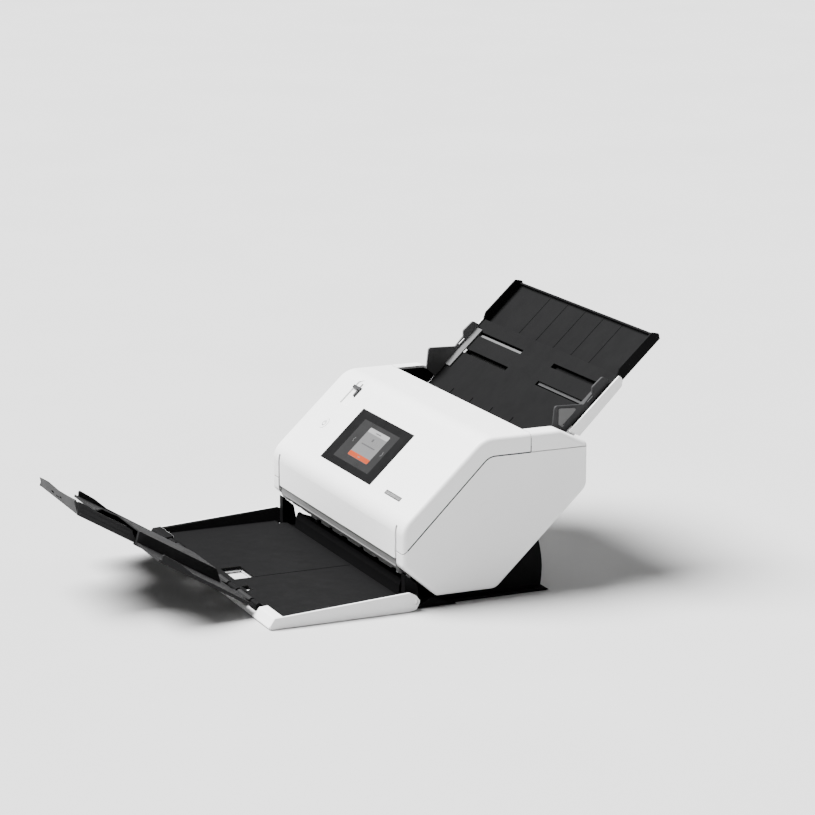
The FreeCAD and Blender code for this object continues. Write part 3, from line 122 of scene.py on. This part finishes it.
def moulded_plastic(name, colour, rough=0.5, grain=0.8 * MM, depth=0.05 * MM, wear=1.4, edge=0.4 * MM,
                    specular=0.2, variation=0.05):
    """Moulded plastic: fine tool grain, slight clouding, and polished or paler edges."""
    material, tree, shader, coords = new_material(name)
    cloud = noise(tree, coords, 60 * MM, 4.0)
    fine = noise(tree, coords, grain, 2.0)
    tint = spread(tree, cloud, 0.0, 1.0)
    base = blend_colours(tree, tint, shifted(colour, 1 - variation), shifted(colour, 1 + variation))
    mask, rounded = edge_mask(tree, edge)
    scuffs = spread(tree, noise(tree, coords, 9 * MM, 5.0, 0.7), 0.2, 1.0, 0.4, 0.6)
    worn = tree.nodes.new("ShaderNodeMath")
    worn.operation = "MULTIPLY"
    tree.links.new(mask, worn.inputs[0])
    tree.links.new(scuffs, worn.inputs[1])
    tinted = blend_colours(tree, worn.outputs[0], base, shifted(colour, wear))
    tree.links.new(tinted, shader.inputs["Base Color"])
    uneven = spread(tree, noise(tree, coords, 25 * MM, 5.0, 0.65), rough - 0.05, rough + 0.05)
    tree.links.new(uneven, shader.inputs["Roughness"])
    shader.inputs["Specular IOR Level"].default_value = specular
    bump(tree, shader, fine, depth, rounded)
    return material


def ground_metal(name, colour, rough, streak=0.4 * MM):
    """Ground or drawn steel, with fine streaks along X."""
    material, tree, shader, coords = new_material(name)
    stretch = tree.nodes.new("ShaderNodeMapping")
    stretch.inputs["Scale"].default_value = (0.05, 1.0, 1.0)
    tree.links.new(coords, stretch.inputs["Vector"])
    streaks = noise(tree, stretch.outputs["Vector"], streak, 3.0)
    cloud = noise(tree, coords, 20 * MM, 4.0)
    tint = blend_colours(tree, spread(tree, cloud, 0.0, 1.0), shifted(colour, 0.88), shifted(colour, 1.08))
    tree.links.new(tint, shader.inputs["Base Color"])
    shader.inputs["Metallic"].default_value = 1.0
    tree.links.new(spread(tree, streaks, rough - 0.08, rough + 0.1), shader.inputs["Roughness"])
    mask, rounded = edge_mask(tree, 0.3 * MM)
    bump(tree, shader, streaks, 0.02 * MM, rounded)
    return material


def rubber(name, colour, rough):
    """Matt rubber with a little dust on it."""
    material, tree, shader, coords = new_material(name)
    cloud = noise(tree, coords, 12 * MM, 5.0, 0.7)
    dust = blend_colours(tree, spread(tree, cloud, 0.0, 1.0), shifted(colour, 0.85), shifted(colour, 1.35))
    tree.links.new(dust, shader.inputs["Base Color"])
    tree.links.new(spread(tree, cloud, rough - 0.08, rough + 0.06), shader.inputs["Roughness"])
    shader.inputs["Specular IOR Level"].default_value = 0.3
    grain = noise(tree, coords, 0.5 * MM, 2.0)
    bump(tree, shader, grain, 0.05 * MM)
    return material


def clear_glass(name, tint, rough, transmission):
    """Glass with faint smudges."""
    material, tree, shader, coords = new_material(name)
    smudge = noise(tree, coords, 14 * MM, 5.0, 0.7)
    tree.links.new(spread(tree, smudge, rough, rough + 0.05), shader.inputs["Roughness"])
    colour = blend_colours(tree, spread(tree, smudge, 0.0, 1.0), tint, shifted(tint, 0.97))
    tree.links.new(colour, shader.inputs["Base Color"])
    shader.inputs["Transmission Weight"].default_value = transmission
    shader.inputs["IOR"].default_value = 1.45
    return material


def solder_mask(name, colour):
    """Circuit board: green mask with a grid of copper tracks under it."""
    material, tree, shader, coords = new_material(name)
    brick = tree.nodes.new("ShaderNodeTexBrick")
    tree.links.new(coords, brick.inputs["Vector"])
    brick.inputs["Scale"].default_value = 1.0 / (9 * MM)
    brick.inputs["Mortar Size"].default_value = 0.04
    brick.inputs["Color1"].default_value = (*colour, 1)
    brick.inputs["Color2"].default_value = (*shifted(colour, 0.8), 1)
    brick.inputs["Mortar"].default_value = (*shifted(colour, 2.2), 1)
    tree.links.new(brick.outputs["Color"], shader.inputs["Base Color"])
    tree.links.new(spread(tree, noise(tree, coords, 8 * MM), 0.28, 0.4), shader.inputs["Roughness"])
    bump(tree, shader, brick.outputs["Fac"], 0.05 * MM)
    return material


def display_layer(name, colour, rough=0.3):
    """Part of the lit picture on the screen, with a fine grid of picture cells."""
    material, tree, shader, coords = new_material(name)
    cells = tree.nodes.new("ShaderNodeTexVoronoi")
    cells.inputs["Scale"].default_value = 1.0 / (0.4 * MM)
    cells.inputs["Randomness"].default_value = 0.0
    tree.links.new(coords, cells.inputs["Vector"])
    grid = spread(tree, cells.outputs["Distance"], 0.0, 1.0, 0.1, 0.6)
    cell_colour = blend_colours(tree, grid, shifted(colour, 1.04), shifted(colour, 0.94))
    tree.links.new(cell_colour, shader.inputs["Base Color"])
    haze = noise(tree, coords, 30 * MM, 4.0)
    tree.links.new(spread(tree, haze, rough - 0.04, rough + 0.04), shader.inputs["Roughness"])
    shader.inputs["Specular IOR Level"].default_value = 0.25
    return material


def printed_ink(name, colour):
    """Thin printed mark: slightly uneven edge to edge, matt."""
    material, tree, shader, coords = new_material(name)
    speckle = noise(tree, coords, 0.6 * MM, 3.0)
    tone = blend_colours(tree, spread(tree, speckle, 0.0, 1.0), shifted(colour, 0.9), shifted(colour, 1.15))
    tree.links.new(tone, shader.inputs["Base Color"])
    shader.inputs["Roughness"].default_value = 0.6
    shader.inputs["Specular IOR Level"].default_value = 0.1
    bump(tree, shader, speckle, 0.01 * MM)
    return material


# Base colours. The blacks are very dark, since the view transform lifts them.
WHITE = (0.82, 0.82, 0.82)
BLACK = (0.003, 0.003, 0.0032)
CHARCOAL = (0.010, 0.010, 0.0104)
DARK = (0.022, 0.022, 0.023)
MID_GREY = (0.032, 0.032, 0.0325)
FRAME_GREY = (0.14, 0.14, 0.14)
LIGHT_GREY = (0.30, 0.30, 0.30)

# One material for each slot in the record.
MATERIALS = {
    "white_shell": moulded_plastic("white_shell", WHITE, rough=0.42, depth=0.012 * MM, wear=1.0,
                                   edge=0.5 * MM, specular=0.35, variation=0.012),
    "black_plastic": moulded_plastic("black_plastic", BLACK, rough=0.7, wear=2.6, specular=0.05,
                                     variation=0.08),
    "dark_grey_plastic": moulded_plastic("dark_grey_plastic", DARK, rough=0.58, wear=1.8),
    "mid_grey_plastic": moulded_plastic("mid_grey_plastic", MID_GREY, rough=0.62, specular=0.1),
    "light_grey_plastic": moulded_plastic("light_grey_plastic", LIGHT_GREY, depth=0.03 * MM, wear=1.2,
                                          specular=0.3),
    "frame_grey": moulded_plastic("frame_grey", FRAME_GREY, depth=0.03 * MM, wear=1.25, specular=0.3),
    "screen_black": moulded_plastic("screen_black", BLACK, rough=0.3, grain=0.6 * MM, depth=0.004 * MM,
                                    wear=1.3, edge=0.3 * MM, specular=0.12),
    "gear_plastic": moulded_plastic("gear_plastic", (0.62, 0.6, 0.55), rough=0.4, depth=0.02 * MM, wear=1.1,
                                    specular=0.5),
    "bush_plastic": moulded_plastic("bush_plastic", DARK, rough=0.45, depth=0.02 * MM, specular=0.5),
    "motor_steel": ground_metal("motor_steel", (0.25, 0.25, 0.26), 0.35),
    "steel": ground_metal("steel", (0.55, 0.55, 0.55), 0.25),
    "zinc_plate": ground_metal("zinc_plate", (0.6, 0.61, 0.62), 0.38, 1.0 * MM),
    "roller_rubber": rubber("roller_rubber", (0.02, 0.02, 0.021), 0.75),
    "foot_rubber": rubber("foot_rubber", (0.015, 0.015, 0.015), 0.8),
    "belt_rubber": rubber("belt_rubber", (0.012, 0.012, 0.012), 0.7),
    "circuit_board": solder_mask("circuit_board", (0.01, 0.09, 0.03)),
    "scan_glass": clear_glass("scan_glass", (0.85, 0.9, 0.9), 0.03, 0.9),
    "screen_glass": clear_glass("screen_glass", (0.2, 0.2, 0.21), 0.02, 0.3),
}

# Materials of the pieces that this script adds.
BACKLIGHT = display_layer("display_backlight", (0.012, 0.012, 0.0123))
CARD = display_layer("display_card", (0.10, 0.10, 0.101))
CARD_HEAD = display_layer("display_card_head", (0.2, 0.2, 0.202))
CARD_INK = display_layer("display_ink", (0.05, 0.05, 0.052))
ORANGE = display_layer("display_orange", (0.26, 0.035, 0.008))
GREY_INK = printed_ink("grey_ink", (0.07, 0.07, 0.07))
DARK_INK = printed_ink("dark_ink", (0.006, 0.006, 0.006))
BADGE = ground_metal("badge_metal", (0.34, 0.34, 0.34), 0.35)
BADGE_RIM = ground_metal("badge_rim", (0.08, 0.08, 0.08), 0.4)
# Black material of the painted shade pieces: the seam strips and beads, and the sheet under the input
# tray's slots.
PAINTED_SHADE_BLACK = moulded_plastic("seam_lip", BLACK, rough=0.7, depth=0.03 * MM, wear=1.2, edge=0.2 * MM,
                           specular=0.1)

# Nodes whose shade is a little apart from their slot's usual one.
EXTENSION_PLASTIC = moulded_plastic("extension_plastic", CHARCOAL, rough=0.6, wear=2.2, specular=0.12,
                                    variation=0.08)
END_PLASTIC = moulded_plastic("end_plastic", (0.016, 0.016, 0.0165), rough=0.6, wear=1.8, specular=0.1)
GUIDE_PLASTIC = moulded_plastic("guide_plastic", (0.09, 0.09, 0.091), rough=0.6, wear=1.5, specular=0.12)
INSERT_PLASTIC = moulded_plastic("insert_plastic", (0.10, 0.10, 0.10), depth=0.03 * MM, wear=1.2)
TONES = {
    "output_extension": EXTENSION_PLASTIC,
    "edge_guide_left": GUIDE_PLASTIC,
    "guide_insert_right": INSERT_PLASTIC,
    "guide_insert_left": INSERT_PLASTIC,
    "output_extension_end": END_PLASTIC,
}


def dress_cad_nodes():
    """Gives every CAD node its own tone, or else the material of its slot in the record."""
    slot_of = {entry["node"]: entry["material_slot"] for entry in frame["record"]["subparts"]}
    for node, obj in NODES.items():
        obj.data.materials.clear()
        obj.data.materials.append(TONES.get(node, MATERIALS[slot_of[node]]))


dress_cad_nodes()


# ---- pieces on the front slope ---------------------------------------------------------
SLOPE_TILT = math.radians(43.1)
SLOPE_UP = Vector((0, math.cos(SLOPE_TILT), math.sin(SLOPE_TILT)))
SLOPE_OUT = Vector((0, -math.sin(SLOPE_TILT), math.cos(SLOPE_TILT)))
BEZEL_MIDDLE = (-9.6, 66.5, -0.45)      # x, height up the slope and height above it, mm


def on_slope(x, up, height):
    """Point on the front cover's slope, from mm, counted from the middle of the screen bezel."""
    low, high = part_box("screen_bezel")
    middle = (Vector(low) + Vector(high)) / 2
    dx, dup, dout = (x - BEZEL_MIDDLE[0], up - BEZEL_MIDDLE[1], height - BEZEL_MIDDLE[2])
    return middle + Vector((dx, 0, 0)) * MM + SLOPE_UP * dup * MM + SLOPE_OUT * dout * MM


def prisms(name, outlines, place, low, high, material, slot, body):
    """One piece made of flat prisms; place(a, b, height) gives a point for each outline corner."""
    form = bmesh.new()
    for outline in outlines:
        bottom = [form.verts.new(place(a, b, low)) for a, b in outline]
        top = [form.verts.new(place(a, b, high)) for a, b in outline]
        form.faces.new(top)
        form.faces.new(list(reversed(bottom)))
        for i in range(len(outline)):
            k = (i + 1) % len(outline)
            form.faces.new((bottom[i], bottom[k], top[k], top[i]))
    bmesh.ops.recalc_face_normals(form, faces=form.faces)
    mesh = bpy.data.meshes.new(name)
    form.to_mesh(mesh)
    form.free()
    piece = bpy.data.objects.new(name, mesh)
    bpy.context.scene.collection.objects.link(piece)
    mesh.materials.append(material)
    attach(piece, body)
    return piece


def rounded(x0, x1, up0, up1, radius, steps=5):
    """Outline of a rectangle with round corners."""
    outline = []
    corners = ((x1 - radius, up1 - radius), (x0 + radius, up1 - radius),
               (x0 + radius, up0 + radius), (x1 - radius, up0 + radius))
    for quarter, (cx, cup) in enumerate(corners):
        for step in range(steps + 1):
            angle = math.pi / 2 * (quarter + step / steps)
            outline.append((cx + radius * math.cos(angle), cup + radius * math.sin(angle)))
    return outline


def arc_band(x, up, radius, width, start, end, steps=24):
    """Outline of a curved band, angles in degrees."""
    outer, inner = [], []
    for step in range(steps + 1):
        angle = math.radians(start + (end - start) * step / steps)
        direction = (math.cos(angle), math.sin(angle))
        outer.append((x + (radius + width) * direction[0], up + (radius + width) * direction[1]))
        inner.append((x + radius * direction[0], up + radius * direction[1]))
    return outer + inner[::-1]


def ring(x, up, radius, width):
    """A full ring, as two half bands."""
    return [arc_band(x, up, radius, width, 0, 180), arc_band(x, up, radius, width, 180, 360)]


def on_cover(name, outlines, low, high, material, slot, body="front_cover"):
    """Flat piece on the front cover's slope, from height low to height high."""
    return prisms(name, outlines, on_slope, low, high, material, slot, body)


SCREEN_UP = 66.5                # height of the screen's middle up the slope
ARROWS = ((-50, -1), (39, 1))   # x of each arrow on the screen, and the way it points


def screen_arrow_strokes(x, facing):
    """The two strokes of an arrow head."""
    strokes = []
    for rise in (-1, 1):
        strokes.append([(x + facing * 1.8, SCREEN_UP), (x + facing * 1.0, SCREEN_UP),
                        (x - facing * 1.4, SCREEN_UP + rise * 3.2),
                        (x - facing * 0.4, SCREEN_UP + rise * 3.6)])
    return strokes


def make_display():
    """A generic start picture: one card with an action bar, and an arrow on each side."""
    backlight = [rounded(-65.1, 46.1, 34.9, 97.1, 0.4)]
    card = [rounded(-36, 26, 45.2, 91, 2)]
    card_head = [rounded(-35.6, 25.6, 84, 90.6, 2)]
    action_bar = [rounded(-35.8, 25.8, 45.4, 52, 1.6)]
    marks = [rounded(-13, 3, 86.4, 87.6, 0.5), rounded(-8.5, -3.5, 74.5, 78.5, 0.8),
             rounded(-26, 15, 66, 67.6, 0.6)]
    action_mark = [rounded(-8, -2, 47.9, 49.4, 0.6)]
    arrows = []
    for x, facing in ARROWS:
        arrows += screen_arrow_strokes(x, facing)
    on_cover("display_backlight", backlight, 0.11, 0.15, BACKLIGHT, "screen_glass")
    on_cover("display_card", card, 0.15, 0.18, CARD, "screen_glass")
    on_cover("display_card_head", card_head, 0.18, 0.19, CARD_HEAD, "screen_glass")
    on_cover("display_action_bar", action_bar, 0.18, 0.19, ORANGE, "screen_glass")
    on_cover("display_marks", marks, 0.19, 0.2, CARD_INK, "screen_glass")
    on_cover("display_action_mark", action_mark, 0.19, 0.2, CARD, "screen_glass")
    on_cover("display_arrows", arrows, 0.15, 0.18, CARD, "screen_glass")


def make_power_symbol():
    """The usual broken ring with a bar, on the button."""
    low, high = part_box("power_button")
    x = (low[0] + high[0]) / 2 / MM
    button_up = 66
    button_top = 0.4
    broken_ring = arc_band(x, button_up, 3.2, 1.1, 125, 415)
    bar = rounded(x - 0.6, x + 0.6, button_up + 0.4, button_up + 5, 0.3)
    on_cover("power_symbol", [broken_ring, bar], button_top, button_top + 0.03, DARK_INK, "white_shell",
             "power_button")


def make_badge():
    """Blank plate at the lower right of the slope, with a darker rim."""
    on_cover("badge_rim", [rounded(115, 161, 25, 31, 0.8)], -0.05, 0.3, BADGE_RIM, "light_grey_plastic")
    on_cover("badge_plate", [rounded(116, 160, 26, 30, 0.5)], 0.31, 0.4, BADGE, "light_grey_plastic")


def make_lever_marks():
    """Two small sheet symbols beside the feed lever: a stack, and one sheet."""
    first_x, spacing = -172.5, 1.7
    marks = []
    for up, sheets in ((129.5, 3), (119.5, 1)):
        for sheet in range(sheets):
            x = first_x + spacing * sheet
            marks.append([(x - 2.6, up - 1.8), (x - 2.0, up - 1.8), (x + 0.6, up + 1.8), (x, up + 1.8)])
    on_cover("lever_marks", marks, 0.0, 0.03, GREY_INK, "white_shell")


# ---- pieces on the sides and in the trays --------------------------------------------
def side_point(x_face):
    """Gives place(y, z, height) for points near a side face, in mm; height is along X."""
    def place(y, z, height):
        return Vector((x_face + height * MM, y * MM, z * MM))
    return place


def make_side_ring():
    """Faint moulded ring on the right side cover."""
    x_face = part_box("side_cover_right")[1][0]
    outline = ring(-21.4, 114.4, 11.4, 0.9)
    prisms("side_ring", outline, side_point(x_face), -0.1, 0.12, MATERIALS["white_shell"], "white_shell",
           "scanner_body")


SEAM_BEND = (-19.7, 182.0)      # y and z of the bend in the seam between the front cover and a side cover
SEAM_START = (-150.0, 54.3)     # where its sloping stretch would end at the front
SEAM_RADIUS = 20.0              # of the bend
SEAM_LOWEST = -128.0            # y at which the painted seam shade strip and bead end
SEAM_END = 36.0                 # y at which the seam meets the rear cover
# Thickness of the black strips that paint the shade inside the seams.
SHADE_STRIP_THICK = 0.85
SEAM_RISE = math.atan2(SEAM_BEND[1] - SEAM_START[1], SEAM_BEND[0] - SEAM_START[0])


def on_seam_slope(y):
    """Point on the seam's sloping stretch."""
    return (y, SEAM_BEND[1] + (y - SEAM_BEND[0]) * math.tan(SEAM_RISE))


def seam_line(steps=8):
    """The seam's points from front to rear, each with the angle at which the seam faces there."""
    centre_y = SEAM_BEND[0] + SEAM_RADIUS * math.tan(SEAM_RISE / 2)
    centre_z = SEAM_BEND[1] - SEAM_RADIUS
    line = [(on_seam_slope(SEAM_LOWEST), math.pi / 2 + SEAM_RISE)]
    for step in range(steps + 1):
        angle = math.pi / 2 + SEAM_RISE * (1 - step / steps)
        point = (centre_y + SEAM_RADIUS * math.cos(angle), centre_z + SEAM_RADIUS * math.sin(angle))
        line.append((point, angle))
    line.append(((SEAM_END, SEAM_BEND[1]), math.pi / 2))
    return line


def raised(points, rise):
    """Closes an outline by the same points, moved up."""
    return points + [(y, z + rise) for y, z in reversed(points)]


def beside(line, distance):
    """The line's points, moved square to the seam."""
    return [(y + distance * math.cos(angle), z + distance * math.sin(angle)) for (y, z), angle in line]


def make_seam_shade_strips():
    """Painted seam shade: black strips set inside the seams between the covers, and flat black beads on the
    seams' outer edges, standing in for the shade in the gaps.
    """
    low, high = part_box("side_cover_right")
    cover_depth = (high[0] - low[0]) / MM
    strip_end = cover_depth - 1.5
    line = seam_line()
    along_side = raised([point for point, angle in line], SHADE_STRIP_THICK)
    across_front = raised([on_seam_slope(-133.7), on_seam_slope(SEAM_LOWEST)], SHADE_STRIP_THICK)
    across_top = [(36.05, 183.0), (36.9, 183.0), (36.9, 200.0), (36.05, 200.0)]
    bead = beside(line, -0.35) + beside(line, 1.25)[::-1]
    top_bead = [(35.8, 183.3), (37.1, 183.3), (37.1, 190.0), (35.8, 190.0)]
    for side, name in ((1, "right"), (-1, "left")):
        place = side_point(side * high[0])
        deep = sorted((-side * 0.25, -side * strip_end))
        inset = sorted((-side * 6.2, -side * strip_end))
        proud = sorted((side * 0.01, side * 0.06))
        # Painted shade: these black strips and beads stand in for the shade in the seams.
        shade_strips = (("seam_shade_strip_", [along_side], deep), ("seam_shade_bead_", [bead, top_bead], proud),
                ("front_seam_shade_", [across_front], inset), ("top_seam_shade_", [across_top], deep))
        for strip_prefix, outlines, reach in shade_strips:
            prisms(strip_prefix + name, outlines, place, *reach, PAINTED_SHADE_BLACK, "black_plastic", "scanner_body")


TRAY_TILT = math.radians(43)
TRAY_ORIGIN = Vector((0, -10, 96))      # where the input tray's surface starts
TRAY_ALONG = Vector((0, math.cos(TRAY_TILT), math.sin(TRAY_TILT)))
TRAY_OUT = Vector((0, -math.sin(TRAY_TILT), math.cos(TRAY_TILT)))


def on_input_tray(x, along, height):
    """Point on the input tray's surface, from mm."""
    return (TRAY_ORIGIN + Vector((x, 0, 0)) + TRAY_ALONG * along + TRAY_OUT * height) * MM


def make_slot_shade_sheet():
    """Painted shade: black sheet on the floor of the input tray's shell, standing in for the shade seen
    through the slots of its plate.
    """
    half_width, start, end = 185.0, 80, 235
    sheet = [(-half_width, start), (half_width, start), (half_width, end), (-half_width, end)]
    # Painted shade: a black sheet where the tray's slots show only shade.
    prisms("slot_shade_sheet", [sheet], on_input_tray, -8.95, -8.65, PAINTED_SHADE_BLACK, "black_plastic", "scanner_body")


make_display()
make_power_symbol()
make_badge()
make_lever_marks()
make_side_ring()
make_seam_shade_strips()
make_slot_shade_sheet()


# ---- stage --------------------------------------------------------------------------
FLOOR_HALF = 14
FLOOR_TONES = ((0.46, 0.46, 0.46), (0.48, 0.48, 0.48))
SKY = 0.3
KEY_ENERGY = 18.0
KEY_ANGLE = math.radians(40)
KEY_PLACE = (-0.9, -1.1, 2.8)
FILL_POWER = 6
FILL_PLACE = (3.0, -1.6, 1.2)
FILL_SIZE = (1.6, 1.6)
LIT_POINT = (0, -0.1, 0.12)
CAMERA_PLACE = (3.3298, -1.5173, 1.0585)
CAMERA_AZIMUTH = math.radians(65.97)
CAMERA_ELEVATION = math.radians(13.27)


def make_floor():
    """Plain pale floor."""
    mesh = bpy.data.meshes.new("floor")
    form = bmesh.new()
    bmesh.ops.create_grid(form, x_segments=1, y_segments=1, size=FLOOR_HALF)
    form.to_mesh(mesh)
    form.free()
    floor = bpy.data.objects.new("floor", mesh)
    bpy.context.scene.collection.objects.link(floor)
    material, tree, shader, coords = new_material("floor_paper")
    patches = spread(tree, noise(tree, coords, 0.4), 0, 1)
    tone = blend_colours(tree, patches, *FLOOR_TONES)
    tree.links.new(tone, shader.inputs["Base Color"])
    shader.inputs["Roughness"].default_value = 0.9
    floor.data.materials.append(material)


def look_at(obj, target):
    direction = Vector(target) - obj.location
    obj.rotation_euler = direction.to_track_quat("-Z", "Y").to_euler()


def add_lamp(name, light, place):
    """Puts a light in the scene, turned to the object."""
    lamp = bpy.data.objects.new(name, light)
    lamp.location = place
    bpy.context.scene.collection.objects.link(lamp)
    look_at(lamp, LIT_POINT)


def make_lights():
    """An even sky, a broad key light from the upper left, and a weak fill from the right."""
    world = bpy.data.worlds.new("studio")
    world.use_nodes = True
    background = world.node_tree.nodes["Background"]
    background.inputs["Color"].default_value = (1, 1, 1, 1)
    background.inputs["Strength"].default_value = SKY
    bpy.context.scene.world = world
    key = bpy.data.lights.new("key", "SUN")
    key.energy = KEY_ENERGY
    key.angle = KEY_ANGLE
    add_lamp("key", key, KEY_PLACE)
    fill = bpy.data.lights.new("right_fill", "AREA")
    fill.shape = "RECTANGLE"
    fill.size, fill.size_y = FILL_SIZE
    fill.energy = FILL_POWER
    add_lamp("right_fill", fill, FILL_PLACE)


def make_camera():
    """The photograph's viewpoint, solved on the body's known edges."""
    camera = bpy.data.cameras.new("camera")
    camera.lens = 129.7
    camera.sensor_width = 36
    camera.clip_end = 100
    viewpoint = bpy.data.objects.new("camera", camera)
    viewpoint.location = CAMERA_PLACE
    viewpoint.rotation_euler = (math.pi / 2 - CAMERA_ELEVATION, 0, CAMERA_AZIMUTH)
    bpy.context.scene.collection.objects.link(viewpoint)
    bpy.context.scene.camera = viewpoint


make_floor()
make_lights()
make_camera()
